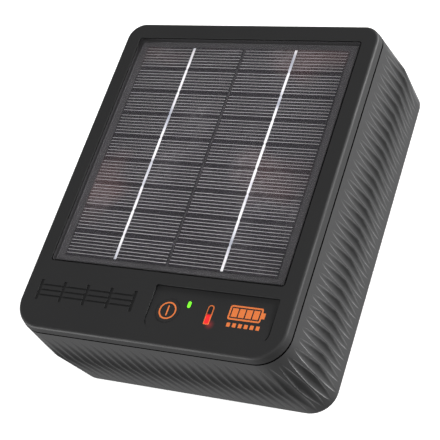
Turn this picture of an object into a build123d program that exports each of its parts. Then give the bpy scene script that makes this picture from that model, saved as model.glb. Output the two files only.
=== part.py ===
from build123d import *
import os
from math import cos, radians, sin, tan

# Solar fence energizer, lying on its back with the solar panel facing up (+Z).
# +X is the right side and +Y the top edge of the face; sizes are in millimetres.
# The origin is under the middle of the whole case, on the surface it rests on.

# ---- the case: its width, and how far each level reaches above and below the face centre
mouth_width = 158.1
face_draft, ridge_swell, back_swell = 1.15, 2.75, 0.25     # each side, against the mouth
face_width = mouth_width - 2 * face_draft
ridge_width = mouth_width + 2 * ridge_swell
back_width = mouth_width + 2 * back_swell
face_top, face_bottom = 98.6, 98.6
mouth_top, mouth_bottom = 99.5, 99.2
ridge_top, ridge_bottom = 104.5, 98.9
back_top, back_bottom = 108.7, 94.5

face_corner_top, face_corner_bottom = 9.8, 16.2
mouth_corner_top, mouth_corner_bottom = 10.4, 16.8
ridge_corner_top, ridge_corner_bottom = 11.6, 16.5
back_corner_top, back_corner_bottom = 11.0, 14.3

housing_depth = 70.6            # back face to housing rim
ridge_height = 37.6             # back face to the widest line of the housing
seal_thickness = 0.8
cover_side = 4.9                # height of the cover's side band
wall = 3.0                      # housing wall
plate = 3.0                     # cover front plate
cover_edge_round = 1.6
back_edge_round = 1.4

# ---- clearances
loose_fit = 0.3                 # moulded parts that slip together
key_gap = 0.12                  # round the moving key
running_gap = 0.05              # knob bore on its stud
light_gap = 0.05                # light pipes in their holes
stack_gap = 0.1                 # ribbon to glass

# ---- cover joint
tongue_depth, tongue_thickness = 4.0, 1.6
seal_inset, seal_width = 0.6, 1.95

# ---- solar panel
window_width, window_height, window_centre_y = 138.5, 148.1, 14.85
window_corner = 2.0
gasket_width = 0.7
gasket_sink = 0.35              # gasket top below the face
glass_sink, glass_thickness = 0.15, 3.0
ledge_width, ledge_thickness = 12.0, 2.0
tray_wall = 2.2
backing_thickness, backing_border = 1.6, 2.0
cell_columns, cell_rows = 2, 9
cell_border_x, cell_border_y = 6.25, 5.15      # bare board round the cells, inside the window
cell_gap_x, cell_gap_y, cell_thickness = 0.8, 0.35, 0.3
ribbon_width, ribbon_thickness, ribbon_overrun = 1.5, 0.15, 2.0

# ---- control recess: a sloped floor, deepest at its top edge
recess_left, recess_right = -0.4, 69.3
recess_top, recess_fade = -65.5, -90.5
recess_depth, recess_corner_top, recess_corner_bottom = 0.9, 1.3, 6.0
groove_width, groove_depth, groove_end = 0.5, 0.9, -88.0      # shadow line round the recess
inlay_depth = 0.4

key_x, key_y, key_radius = 10.7, -79.2, 6.5
key_travel, key_proud = 0.8, 0.1
key_flange_extra, key_flange_thickness, key_stem_radius = 1.2, 1.0, 2.2
ring_radius, ring_line, bar_line, bar_length = 4.85, 0.8, 0.8, 5.8

status_x, status_y, status_width, status_length = 21.5, -74.5, 1.7, 3.6
gauge_x, gauge_y, gauge_width, gauge_length, gauge_line = 34.0, -78.6, 3.4, 10.8, 0.55
gauge_foot_corner = 0.7
light_proud = 0.1

level_x, level_y, level_width, level_height, level_line = 53.2, -75.6, 18.0, 8.0, 0.9
level_bars, level_nub = 4, 1.6
scale_y, scale_width, scale_marks, scale_height = -82.4, 19.2, 6, 2.2

emblem_x, emblem_y, emblem_width, emblem_height = -39.5, -76.8, 60.0, 12.0
emblem_posts, emblem_rails, post_width, rail_line, emblem_depth = 5, 3, 1.9, 1.0, 0.5

# ---- control board under the recess
control_x, control_y, control_width, control_height = 29.5, -78.5, 61.0, 27.0
board_thickness = 1.6
control_drop = 14.0             # face to the top of the control board
control_bosses = [(2.5, -69.0), (56.5, -69.0), (38.0, -90.0)]
control_boss_radius, control_screw_radius = 2.6, 1.1
switch_size, switch_height, plunger_radius, plunger_top, plunger_length = 6.0, 3.6, 1.7, 4.8, 3.3
led_width, led_length, led_height = 2.8, 3.5, 1.4

# ---- cover screws in long tubes from the back
screw_x, screw_top_y, screw_bottom_y = 66.5, 82.0, -84.0
boss_radius, boss_length = 4.5, 15.6
tube_radius, screw_head_bore = 5.4, 4.25
screw_radius, screw_head_radius, screw_head_height, screw_length = 2.0, 3.75, 2.6, 16.0
screw_shoulder = 5.0            # plastic under each screw head

# ---- rear rails and the lane between them
rail_height, rail_width, rail_inset = 4.0, 24.0, 3.0
left_rail_x, right_rail_x = -50.0, 41.0
rail_grip_count, rail_grip_width, rail_grip_depth = 9, 3.0, 1.0
lane_x = (left_rail_x + right_rail_x) / 2

# ---- hanging keyholes
keyhole_y, keyhole_spacing = [22.0, 82.0], 60.0
keyhole_radius, keyhole_slot_radius, keyhole_slot = 4.5, 2.3, 9.0
keyhole_plate, keyhole_cavity, cup_wall = 2.4, 5.0, 2.0

# ---- terminal pocket
pocket_width, pocket_height, pocket_depth, pocket_y = 54.0, 40.0, 16.0, -60.0
pocket_wall = 3.0
terminal_spacing = 27.0
stud_radius, stud_head_radius, stud_head_height = 3.0, 5.0, 4.0
stud_end = 2.0                  # stud tip above the back face
base_nut_radius, base_nut_height = 5.0, 3.0
washer_radius, washer_thickness = 6.5, 1.2
knob_radius, knob_height, knob_grips, knob_grip_radius = 8.0, 8.0, 10, 1.4
seal_ring_outer, seal_ring_height = 4.6, 1.0
clamp_travel = 2.0              # two turns of a 1 mm pitch stud

# ---- vent
vent_y, vent_radius, vent_flange_radius, vent_flange, vent_length = -16.0, 4.0, 6.5, 1.4, 6.0

# ---- main board and what it carries
main_x, main_y, main_width, main_height = 0.0, -50.0, 124.0, 66.0
output_lead_length = 3.0        # stud head to the main board
board_post_x, board_post_y, post_radius = 56.0, 27.0, 4.0
post_screw_radius, post_screw_head, post_screw_length = 1.5, 2.8, 10.0
core_width, core_height, core_thickness, core_leg, core_centre_leg = 44.0, 36.0, 18.0, 7.0, 12.0
transformer_x, transformer_y = 24.0, -42.0
bobbin_wall, flange_reach, flange_thickness = 1.0, 7.0, 1.0
winding_reach = 6.0
capacitor_x, capacitor_y, capacitor_radius, capacitor_height = -38.0, -46.0, 15.0, 34.0
sink_x, sink_y, sink_width, sink_height, sink_fins = -4.0, -30.0, 14.0, 24.0, 5
choke_x, choke_y, choke_radius, choke_hole, choke_height = -8.0, -68.0, 7.5, 3.0, 7.0
socket_x, socket_y, socket_width, socket_depth, socket_height = 40.0, -72.0, 14.0, 7.0, 8.0

# ---- battery
battery_x, battery_y, cell_radius, cell_length, cell_gap = 0.0, 40.0, 16.0, 65.0, 3.0
terminal_nub_radius, terminal_nub = 3.5, 1.5
cradle_width, cradle_height, cradle_z, cradle_thickness = 84.0, 84.0, 15.0, 2.0
saddle_x, saddle_thickness, saddle_height = 24.0, 3.0, 12.0
strap_x, strap_width, strap_thickness = 10.0, 9.0, 2.0
cradle_post_x, cradle_post_y = 37.0, 38.0

lead_radius = 1.1
lead_end_y = -22.0              # where the battery leads meet the main board

# ---- levels worked out from the sizes above
back_z = rail_height
floor_z = back_z + wall
ridge_z = back_z + ridge_height
mouth_z = back_z + housing_depth
cover_z = mouth_z + seal_thickness
face_z = cover_z + cover_side
plate_z = face_z - plate
glass_top = face_z - glass_sink
glass_bottom = glass_top - glass_thickness
cell_top = glass_bottom - stack_gap - ribbon_thickness
cell_bottom = cell_top - cell_thickness
backing_bottom = cell_bottom - backing_thickness
cells_width = window_width - 2 * cell_border_x
cells_height = window_height - 2 * cell_border_y
cell_width = (cells_width - (cell_columns - 1) * cell_gap_x) / cell_columns
cell_height = (cells_height - (cell_rows - 1) * cell_gap_y) / cell_rows
cell_pitch_x, cell_pitch_y = cell_width + cell_gap_x, cell_height + cell_gap_y
ledge_bottom = backing_bottom - ledge_thickness
control_z = face_z - control_drop
boss_low = mouth_z - boss_length
pocket_z = back_z + pocket_depth
main_z = pocket_z + pocket_wall + stud_head_height + output_lead_length
battery_z = cradle_z + cradle_thickness + 1.0 + cell_radius
highest = max(face_top, mouth_top, ridge_top, back_top)
lowest = max(face_bottom, mouth_bottom, ridge_bottom, back_bottom)
face_centre_y = (lowest - highest) / 2

on_base = (Align.CENTER, Align.CENTER, Align.MIN)
cover_screws_at = [(x, y) for x in (-screw_x, screw_x) for y in (screw_top_y, screw_bottom_y)]


# ---- shapes used all through; y is counted from the face centre
def block(x_size, y_size, low, high, x=0.0, y=0.0):
    return Pos(x, face_centre_y + y, low) * Box(x_size, y_size, high - low, align=on_base)


def rod(radius, low, high, x=0.0, y=0.0):
    return Pos(x, face_centre_y + y, low) * Cylinder(radius, high - low, align=on_base)


def tube(outer, inner, low, high, x=0.0, y=0.0):
    return rod(outer, low, high, x, y) - rod(inner, low, high, x, y)


def hexagon(radius, low, high, x, y):
    return extrude(Pos(x, face_centre_y + y, low) * RegularPolygon(radius, 6), high - low)


def pill(width, length, low, high, x, y):
    shape = Pos(x, face_centre_y + y, low) * SlotOverall(length, width, rotation=90)
    return extrude(shape, high - low)


def rounded_block(x_size, y_size, corner, low, high, x=0.0, y=0.0):
    shape = Pos(x, face_centre_y + y, low) * RectangleRounded(x_size, y_size, corner)
    return extrude(shape, high - low)


def outline(width, top, bottom, corner_top, corner_bottom, z, inset=0.0):
    x = width / 2 - inset
    high = face_centre_y + top - inset
    low = face_centre_y - bottom + inset
    upper = max(corner_top - inset, 1.0)
    lower = max(corner_bottom - inset, 1.0)
    edges = [
        Line((-x + lower, low), (x - lower, low)),
        CenterArc((x - lower, low + lower), lower, 270, 90),
        Line((x, low + lower), (x, high - upper)),
        CenterArc((x - upper, high - upper), upper, 0, 90),
        Line((x - upper, high), (-x + upper, high)),
        CenterArc((-x + upper, high - upper), upper, 90, 90),
        Line((-x, high - upper), (-x, low + lower)),
        CenterArc((-x + lower, low + lower), lower, 180, 90),
    ]
    return Pos(0, 0, z) * Face(Wire(edges))


def face_outline(z, inset=0.0):
    return outline(face_width, face_top, face_bottom, face_corner_top, face_corner_bottom, z, inset)


def mouth_outline(z, inset=0.0):
    return outline(mouth_width, mouth_top, mouth_bottom, mouth_corner_top, mouth_corner_bottom, z, inset)


def ridge_outline(z, inset=0.0):
    return outline(ridge_width, ridge_top, ridge_bottom, ridge_corner_top, ridge_corner_bottom, z, inset)


def back_outline(z, inset=0.0):
    return outline(back_width, back_top, back_bottom, back_corner_top, back_corner_bottom, z, inset)


def mouth_ring(outer_inset, inner_inset, low, high):
    ring = mouth_outline(low, outer_inset) - mouth_outline(low, inner_inset)
    return extrude(ring, high - low)


def slope_z(y, depth=recess_depth):
    return face_z - depth * (y - recess_fade) / (recess_top - recess_fade)


def slope_prism(lift, height, depth=recess_depth):
    """Everything from the recess floor, raised by lift, up to height above that."""
    far = recess_fade - 6.0
    near = recess_top + 6.0
    points = [
        (recess_left - 10, face_centre_y + far, slope_z(far, depth) + lift),
        (recess_left - 10, face_centre_y + near, slope_z(near, depth) + lift),
        (recess_left - 10, face_centre_y + near, slope_z(near, depth) + lift + height),
        (recess_left - 10, face_centre_y + far, slope_z(far, depth) + lift + height),
    ]
    side = Face(Wire.make_polygon([Vector(*p) for p in points], close=True))
    return extrude(side, recess_right - recess_left + 20, dir=(1, 0, 0))


def recess_column(inset=0.0):
    left, right = recess_left + inset, recess_right - inset
    top, bottom = recess_top - inset, recess_fade + inset
    column = block(right - left, top - bottom, plate_z - 0.5, face_z + 1,
                   (left + right) / 2, (top + bottom) / 2)
    upright = column.edges().filter_by(Axis.Z).sort_by(Axis.Y)
    column = fillet(upright[:2], recess_corner_bottom - inset)
    upright = column.edges().filter_by(Axis.Z).sort_by(Axis.Y)
    return fillet(upright[-2:], recess_corner_top - inset)


def recess_cut():
    outside = recess_column()
    groove = (outside - recess_column(groove_width)) & slope_prism(-groove_depth, 6)
    low = recess_fade - 1
    groove -= block(recess_right - recess_left + 4, groove_end - low, plate_z - 1, face_z + 2,
                    (recess_left + recess_right) / 2, (groove_end + low) / 2)
    return (outside & slope_prism(0, 4)) + groove


def inlay(shape):
    """The part of a column that lies in the recess floor, inlay_depth deep."""
    return shape & slope_prism(-inlay_depth, inlay_depth)


def lead(points):
    """A wire along straight runs with round bends."""
    at = [Vector(x, face_centre_y + y, z) for x, y, z in points]
    bends = []
    for before, here, after in zip(at, at[1:], at[2:]):
        turn = radians((here - before).get_angle(after - here))
        shorter = min((here - before).length, (after - here).length)
        bends.append(0.45 * shorter / tan(turn / 2))
    path = FilletPolyline(*at, radius=bends)
    start = Plane(path @ 0, z_dir=path % 0)
    return sweep(start * Circle(lead_radius), path=path)


# ---- symbols
def key_symbol():
    column = tube(ring_radius, ring_radius - ring_line, plate_z - 1, face_z, key_x, key_y)
    bar = pill(bar_line, bar_length, plate_z - 1, face_z, key_x, key_y)
    low = slope_prism(key_proud - inlay_depth, inlay_depth)
    return [column & low, bar & low]


def gauge_shape(inset, low, high):
    """A tube gauge: round at the top, nearly square at the foot."""
    width, length = gauge_width - 2 * inset, gauge_length - 2 * inset
    shape = pill(width, length, low, high, gauge_x, gauge_y)
    foot_y = gauge_y - length / 4
    corner = max(gauge_foot_corner - inset, 0.15)
    return shape + rounded_block(width, length / 2, corner, low, high, gauge_x, foot_y)


def gauge_symbol():
    low, high = plate_z - 1, face_z
    return inlay(gauge_shape(0, low, high) - gauge_shape(gauge_line, low, high))


def level_symbol():
    low, high = plate_z - 1, face_z
    inside_width = level_width - 2 * level_line
    inside_height = level_height - 2 * level_line
    frame = rounded_block(level_width, level_height, 1.2, low, high, level_x, level_y)
    frame -= rounded_block(inside_width, inside_height, 0.4, low, high, level_x, level_y)
    nub_x = level_x + (level_width + level_nub) / 2
    frame += block(level_nub + 0.2, level_height * 0.4, low, high, nub_x - 0.1, level_y)
    pieces = [inlay(frame)]
    gap = 0.7
    bar = (inside_width - gap * (level_bars + 1)) / level_bars
    for i in range(level_bars):
        x = level_x - inside_width / 2 + gap + bar / 2 + i * (bar + gap)
        pieces.append(inlay(block(bar, inside_height - 2 * gap, low, high, x, level_y)))
    step = scale_width / scale_marks
    for i in range(scale_marks):
        x = level_x + 0.8 - scale_width / 2 + step * (i + 0.5)
        pieces.append(inlay(block(step * 0.6, scale_height, low, high, x, scale_y)))
    return pieces


def fence_emblem_cut():
    low, high = face_z - emblem_depth, face_z + 1
    cut = Part()
    post_step = (emblem_width - post_width) / (emblem_posts - 1)
    for i in range(emblem_posts):
        x = emblem_x - (emblem_width - post_width) / 2 + i * post_step
        cut += rounded_block(post_width, emblem_height, 0.6, low, high, x, emblem_y)
    rail_step = emblem_height / (emblem_rails + 1)
    for i in range(emblem_rails):
        y = emblem_y - emblem_height / 2 + (i + 1) * rail_step
        cut += block(emblem_width, rail_line, low, high, emblem_x, y)
    return cut


# ---- the front
def status_column(gap=0.0):
    width, length = status_width + 2 * gap, status_length + 2 * gap
    return pill(width, length, control_z + led_height, face_z + 1, status_x, status_y)


def gauge_column(gap=0.0):
    return gauge_shape(gauge_line - gap, control_z + led_height, face_z + 1)


def front_cover():
    shell = loft([mouth_outline(cover_z), face_outline(face_z)], ruled=True)
    top_edges = shell.faces().sort_by(Axis.Z)[-1].edges()
    shell = fillet(top_edges, cover_edge_round)
    inset = wall + loose_fit + tongue_thickness
    shell += extrude(mouth_outline(cover_z - tongue_depth, wall + loose_fit), tongue_depth)
    shell -= extrude(mouth_outline(cover_z - tongue_depth, inset), tongue_depth + cover_side - plate)
    tray_width = window_width + 2 * tray_wall
    tray_height = window_height + 2 * tray_wall
    shell += rounded_block(tray_width, tray_height, 3, ledge_bottom, plate_z + 0.5, 0, window_centre_y)
    shell -= rounded_block(window_width, window_height, window_corner, backing_bottom, face_z + 1,
                           0, window_centre_y)
    inner_width = window_width - 2 * ledge_width
    inner_height = window_height - 2 * ledge_width
    shell -= rounded_block(inner_width, inner_height, 6, ledge_bottom - 1, face_z, 0, window_centre_y)
    for x, y in cover_screws_at:
        top = plate_z + 0.5 if y < 0 else ledge_bottom + 0.5
        shell += rod(boss_radius, boss_low, top, x, y)
        shell -= rod(screw_radius + 0.05, boss_low, boss_low + screw_length - screw_shoulder + 1, x, y)
    for x, y in control_bosses:
        shell += rod(control_boss_radius, control_z, plate_z + 0.5, x, y)
        shell -= rod(control_screw_radius, control_z, control_z + 6, x, y)
    shell -= recess_cut()
    shell -= rod(key_radius + key_gap, plate_z - 1, face_z + 1, key_x, key_y)
    shell -= status_column(light_gap)
    shell -= gauge_column(light_gap)
    shell -= gauge_symbol()
    for piece in level_symbol():
        shell -= piece
    shell -= fence_emblem_cut()
    return shell


def power_key():
    above = slope_prism(key_proud, 6)
    flange = key_radius + key_flange_extra
    key = rod(key_radius, plate_z - 0.5, face_z + 1, key_x, key_y) - above
    key += rod(flange, plate_z - key_flange_thickness, plate_z, key_x, key_y)
    key += rod(key_stem_radius, control_z + plunger_top, plate_z, key_x, key_y)
    for piece in key_symbol():
        key -= piece
    return key


def light_pipe(column):
    return column - slope_prism(light_proud, 6)


def cover_seal():
    return mouth_ring(seal_inset, seal_inset + seal_width, mouth_z, cover_z)


# ---- the solar panel
def solar_glass():
    width = window_width - 2 * gasket_width
    height = window_height - 2 * gasket_width
    return rounded_block(width, height, window_corner - gasket_width, glass_bottom, glass_top,
                         0, window_centre_y)


def panel_gasket():
    width, height = window_width, window_height
    ring = rounded_block(width, height, window_corner, glass_bottom, face_z - gasket_sink,
                         0, window_centre_y)
    inner_width, inner_height = width - 2 * gasket_width, height - 2 * gasket_width
    return ring - rounded_block(inner_width, inner_height, window_corner - gasket_width,
                                glass_bottom, face_z, 0, window_centre_y)


def panel_backing():
    width = window_width - 2 * light_gap
    height = window_height - 2 * light_gap
    board = rounded_block(width, height, window_corner, backing_bottom, glass_bottom, 0, window_centre_y)
    inner_width, inner_height = width - 2 * backing_border, height - 2 * backing_border
    return board - block(inner_width, inner_height, cell_bottom, glass_bottom + 1, 0, window_centre_y)


def solar_cells():
    cells = []
    for column in range(cell_columns):
        for row in range(cell_rows):
            x = (column - (cell_columns - 1) / 2) * cell_pitch_x
            y = window_centre_y + (row - (cell_rows - 1) / 2) * cell_pitch_y
            cells.append(block(cell_width, cell_height, cell_bottom, cell_top, x, y))
    return cells


def busbar_ribbons():
    length = cells_height + 2 * ribbon_overrun
    ribbons = []
    for column in range(cell_columns):
        x = (column - (cell_columns - 1) / 2) * cell_pitch_x
        ribbons.append(block(ribbon_width, length, cell_top, cell_top + ribbon_thickness,
                             x, window_centre_y))
    return ribbons


# ---- the housing
def housing_shell():
    outer = loft([back_outline(back_z), ridge_outline(ridge_z), mouth_outline(mouth_z)], ruled=True)
    outer = fillet(outer.faces().sort_by(Axis.Z)[0].edges(), back_edge_round)
    inner = loft([back_outline(floor_z, wall), ridge_outline(ridge_z, wall), mouth_outline(mouth_z, wall)],
                 ruled=True)
    return outer - inner


def keyhole_cut(y, low, high):
    cut = rod(keyhole_radius, low, high, lane_x, y)
    cut += block(2 * keyhole_slot_radius, keyhole_slot, low, high, lane_x, y + keyhole_slot / 2)
    return cut + rod(keyhole_slot_radius, low, high, lane_x, y + keyhole_slot)


def keyhole_cup(y, grow, low, high):
    width = 2 * keyhole_radius + 1 + grow
    height = keyhole_slot + 2 * keyhole_radius + grow
    return rounded_block(width, height, 2, low, high, lane_x, y + keyhole_slot / 2)


def terminal_x(side):
    return lane_x + side * terminal_spacing / 2


def rear_housing():
    body = housing_shell()
    for x, y in cover_screws_at:
        body += rod(tube_radius, back_z + 1, boss_low, x, y)
        body -= rod(screw_radius + loose_fit, back_z - 1, boss_low, x, y)
        body -= rod(screw_head_bore, back_z - 1, boss_low - screw_shoulder, x, y)
    cavity_z = back_z + keyhole_plate
    for y in keyhole_y:
        body += keyhole_cup(y, 2 * cup_wall, back_z + 1, cavity_z + keyhole_cavity + cup_wall)
        body -= keyhole_cup(y, 0, cavity_z, cavity_z + keyhole_cavity)
        body -= keyhole_cut(y, back_z - 1, cavity_z + 1)
    outer_width, outer_height = pocket_width + 2 * pocket_wall, pocket_height + 2 * pocket_wall
    body += rounded_block(outer_width, outer_height, 5, back_z + 1, pocket_z + pocket_wall,
                          lane_x, pocket_y)
    body -= rounded_block(pocket_width, pocket_height, 3, back_z - 1, pocket_z, lane_x, pocket_y)
    for side in (-1, 1):
        x = terminal_x(side)
        body -= rod(stud_radius + running_gap, pocket_z - 1, pocket_z + pocket_wall + 1, x, pocket_y)
        body -= rod(seal_ring_outer, pocket_z - 1, pocket_z + seal_ring_height, x, pocket_y)
    body -= rod(vent_radius, back_z - 1, floor_z + 1, lane_x, vent_y)
    for x, y in board_posts():
        body += rod(post_radius, back_z + 1, main_z, x, y)
        body -= rod(post_screw_radius + 0.05, main_z - post_screw_length, main_z, x, y)
    for x, y in cradle_posts():
        body += rod(post_radius, back_z + 1, cradle_z, x, y)
        low = cradle_z + cradle_thickness - post_screw_length
        body -= rod(post_screw_radius + 0.05, low, cradle_z, x, y)
    return body


def rear_rail(x):
    middle = (back_top - back_bottom) / 2
    length = back_top + back_bottom - 2 * rail_inset
    rail = rounded_block(rail_width, length, 4, 0, back_z, x, middle)
    step = length / (rail_grip_count + 1)
    for i in range(rail_grip_count):
        y = middle - length / 2 + step * (i + 1)
        rail -= block(rail_width - 6, rail_grip_width, -1, rail_grip_depth, x, y)
    return rail


def vent_plug():
    plug = rod(vent_flange_radius, back_z - vent_flange, back_z, lane_x, vent_y)
    plug += rod(vent_radius - light_gap, back_z, back_z + vent_length, lane_x, vent_y)
    for i in range(6):
        angle = radians(60 * i)
        x, y = lane_x + 4.4 * cos(angle), vent_y + 4.4 * sin(angle)
        plug -= rod(0.6, back_z - 2, back_z - 0.5, x, y)
    return plug


# ---- one terminal; side is -1 for fence and +1 for earth
def terminal_stud(side):
    x = terminal_x(side)
    stud = rod(stud_radius, back_z + stud_end, pocket_z + pocket_wall, x, pocket_y)
    head_low = pocket_z + pocket_wall
    return stud + hexagon(stud_head_radius, head_low, head_low + stud_head_height, x, pocket_y)


def terminal_nut(side):
    x = terminal_x(side)
    nut = hexagon(base_nut_radius, pocket_z - base_nut_height, pocket_z, x, pocket_y)
    return nut - rod(stud_radius, pocket_z - base_nut_height, pocket_z, x, pocket_y)


def terminal_washer(side):
    top = pocket_z - base_nut_height
    return tube(washer_radius, stud_radius + running_gap, top - washer_thickness, top,
                terminal_x(side), pocket_y)


def terminal_knob(side):
    x = terminal_x(side)
    top = pocket_z - base_nut_height - washer_thickness
    knob = rod(knob_radius, top - knob_height, top, x, pocket_y)
    lower_edge = knob.edges().filter_by(GeomType.CIRCLE).sort_by(Axis.Z)[0]
    knob = fillet(lower_edge, 1.2)
    knob -= rod(stud_radius + running_gap, top - knob_height, top, x, pocket_y)
    for i in range(knob_grips):
        angle = radians(360 / knob_grips * i)
        grip_x = x + (knob_radius + 0.4) * cos(angle)
        grip_y = pocket_y + (knob_radius + 0.4) * sin(angle)
        knob -= rod(knob_grip_radius, top - knob_height, top - 1.0, grip_x, grip_y)
    return knob


def stud_seals():
    inner = stud_radius + running_gap
    return [tube(seal_ring_outer, inner, pocket_z, pocket_z + seal_ring_height, terminal_x(side), pocket_y)
            for side in (-1, 1)]


# ---- fasteners
def screw(radius, head_radius, head_height, seat_z, length, x, y, up):
    """A screw whose head seats at seat_z; up is +1 when the shank points to +Z."""
    if up > 0:
        body = rod(radius, seat_z, seat_z + length, x, y)
        head = rod(head_radius, seat_z - head_height, seat_z, x, y)
        socket = hexagon(head_radius * 0.5, seat_z - head_height, seat_z - head_height * 0.4, x, y)
    else:
        body = rod(radius, seat_z - length, seat_z, x, y)
        head = rod(head_radius, seat_z, seat_z + head_height, x, y)
        socket = hexagon(head_radius * 0.5, seat_z + head_height * 0.4, seat_z + head_height, x, y)
    return body + head - socket


def cover_screws():
    seat = boss_low - screw_shoulder
    return [screw(screw_radius, screw_head_radius, screw_head_height, seat, screw_length, x, y, 1)
            for x, y in cover_screws_at]


def board_posts():
    return [(main_x + i * board_post_x, main_y + j * board_post_y) for i in (-1, 1) for j in (-1, 1)]


def cradle_posts():
    return [(battery_x + i * cradle_post_x, battery_y + j * cradle_post_y) for i in (-1, 1) for j in (-1, 1)]


def main_board_screws():
    seat = main_z + board_thickness
    return [screw(post_screw_radius, post_screw_head, 1.8, seat, post_screw_length, x, y, -1)
            for x, y in board_posts()]


def cradle_screws():
    seat = cradle_z + cradle_thickness
    return [screw(post_screw_radius, post_screw_head, 1.8, seat, post_screw_length, x, y, -1)
            for x, y in cradle_posts()]


def control_board_screws():
    seat = control_z - board_thickness
    return [screw(control_screw_radius - 0.05, 2.0, 1.4, seat, 6.0, x, y, 1) for x, y in control_bosses]


# ---- boards
def main_board():
    board = rounded_block(main_width, main_height, 3, main_z, main_z + board_thickness, main_x, main_y)
    for x, y in board_posts():
        board -= rod(post_screw_radius + 0.1, main_z - 1, main_z + 3, x, y)
    return board


def control_board():
    low = control_z - board_thickness
    board = rounded_block(control_width, control_height, 2, low, control_z, control_x, control_y)
    for x, y in control_bosses:
        board -= rod(control_screw_radius + 0.1, low - 1, control_z + 1, x, y)
    return board


def switch_body():
    body = block(switch_size, switch_size, control_z, control_z + switch_height, key_x, key_y)
    return body - rod(plunger_radius + 0.1, control_z + 0.4, control_z + switch_height + 1, key_x, key_y)


def switch_plunger():
    top = control_z + plunger_top
    return rod(plunger_radius, top - plunger_length, top, key_x, key_y)


def led(x, y):
    return block(led_width, led_length, control_z, control_z + led_height, x, y)


def on_main():
    return main_z + board_thickness


def transformer_core():
    low = on_main()
    core = block(core_width, core_thickness, low, low + core_height, transformer_x, transformer_y)
    window = (core_width - 2 * core_leg - core_centre_leg) / 2
    for side in (-1, 1):
        x = transformer_x + side * (core_centre_leg + window) / 2
        core -= block(window, core_thickness + 2, low + core_leg, low + core_height - core_leg,
                      x, transformer_y)
    return core


def transformer_bobbin():
    low = on_main() + core_leg + 0.2
    high = on_main() + core_height - core_leg - 0.2
    hole_x, hole_y = core_centre_leg + 0.4, core_thickness + 0.4
    sleeve_x, sleeve_y = hole_x + 2 * bobbin_wall, hole_y + 2 * bobbin_wall
    flange_x, flange_y = sleeve_x + 2 * flange_reach - 1, sleeve_y + 2 * flange_reach
    bobbin = block(sleeve_x, sleeve_y, low, high, transformer_x, transformer_y)
    for z in (low, high - flange_thickness):
        bobbin += block(flange_x, flange_y, z, z + flange_thickness, transformer_x, transformer_y)
    return bobbin - block(hole_x, hole_y, low - 1, high + 1, transformer_x, transformer_y)


def transformer_windings():
    low = on_main() + core_leg + 0.2 + flange_thickness
    high = on_main() + core_height - core_leg - 0.2 - flange_thickness
    sleeve_x = core_centre_leg + 0.4 + 2 * bobbin_wall
    sleeve_y = core_thickness + 0.4 + 2 * bobbin_wall
    coil = rounded_block(sleeve_x + 2 * winding_reach, sleeve_y + 2 * winding_reach, 3, low, high,
                         transformer_x, transformer_y)
    return coil - block(sleeve_x, sleeve_y, low - 1, high + 1, transformer_x, transformer_y)


def storage_capacitor():
    can = rod(capacitor_radius, on_main(), on_main() + capacitor_height, capacitor_x, capacitor_y)
    top = can.edges().filter_by(GeomType.CIRCLE).sort_by(Axis.Z)[-1]
    return fillet(top, 1.5)


def heat_sink():
    low = on_main()
    base = block(sink_width, 3, low, low + sink_height, sink_x, sink_y)
    step = (sink_width - 1.2) / (sink_fins - 1)
    for i in range(sink_fins):
        x = sink_x - sink_width / 2 + 0.6 + i * step
        base += block(1.2, 9, low, low + sink_height, x, sink_y + 5.5)
    return base


def charge_choke():
    return tube(choke_radius, choke_hole, on_main(), on_main() + choke_height, choke_x, choke_y)


def lead_socket():
    low = on_main()
    body = block(socket_width, socket_depth, low, low + socket_height, socket_x, socket_y)
    return body - block(socket_width - 2, socket_depth - 2, low + 2, low + socket_height + 1,
                        socket_x, socket_y)


# ---- battery
def battery_at(side):
    return battery_y + side * (cell_radius + cell_gap / 2)


def battery_cell(side):
    body = Cylinder(cell_radius, cell_length)
    body += Pos(0, 0, cell_length / 2) * Cylinder(terminal_nub_radius, 2 * terminal_nub)
    turned = Rot(0, 90 * side, 0) * body
    return Pos(battery_x, face_centre_y + battery_at(side), battery_z) * turned


def cell_space(side, gap):
    body = Rot(0, 90, 0) * Cylinder(cell_radius + gap, cell_length + 4)
    return Pos(battery_x, face_centre_y + battery_at(side), battery_z) * body


def battery_cradle():
    top = cradle_z + cradle_thickness
    tray = rounded_block(cradle_width, cradle_height, 4, cradle_z, top, battery_x, battery_y)
    for side in (-1, 1):
        x = battery_x + side * saddle_x
        tray += block(saddle_thickness, cradle_height - 14, top, top + saddle_height, x, battery_y)
    for side in (-1, 1):
        tray -= cell_space(side, 0)
    for x, y in cradle_posts():
        tray -= rod(post_screw_radius + 0.1, cradle_z - 1, top + 1, x, y)
    return tray


def battery_strap(side):
    top = cradle_z + cradle_thickness
    length = 4 * cell_radius + cell_gap + 1 + 2 * strap_thickness
    x = battery_x + side * strap_x
    high = battery_z + cell_radius + 0.1
    strap = block(strap_width, length, top, high + strap_thickness, x, battery_y)
    return strap - block(strap_width + 2, length - 2 * strap_thickness, top - 1, high, x, battery_y)


# ---- leads between the pieces inside the case
def battery_leads():
    end_x = battery_x + cell_length / 2 + terminal_nub + lead_radius
    board_top = on_main()
    leads = []
    for side in (-1, 1):
        y = battery_at(side)
        run_x = side * (end_x + 9)
        points = [(side * end_x, y, battery_z - 4), (side * end_x, y, battery_z + 6),
                  (run_x, y - 16, battery_z + 11), (run_x, 0, board_top + 16),
                  (run_x, lead_end_y, board_top + 10), (run_x, lead_end_y, board_top)]
        leads.append(lead(points))
    return leads


def output_leads():
    leads = []
    for side in (-1, 1):
        x = terminal_x(side)
        tip = pocket_z + pocket_wall + stud_head_height
        leads.append(rod(lead_radius, tip, main_z, x, pocket_y))
    return leads


def save(name, shape):
    export_step(shape, f"parts/{name}.step")


def group(pieces):
    solids = []
    for piece in pieces:
        solids += list(piece.solids())
    return Compound(solids)


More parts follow.
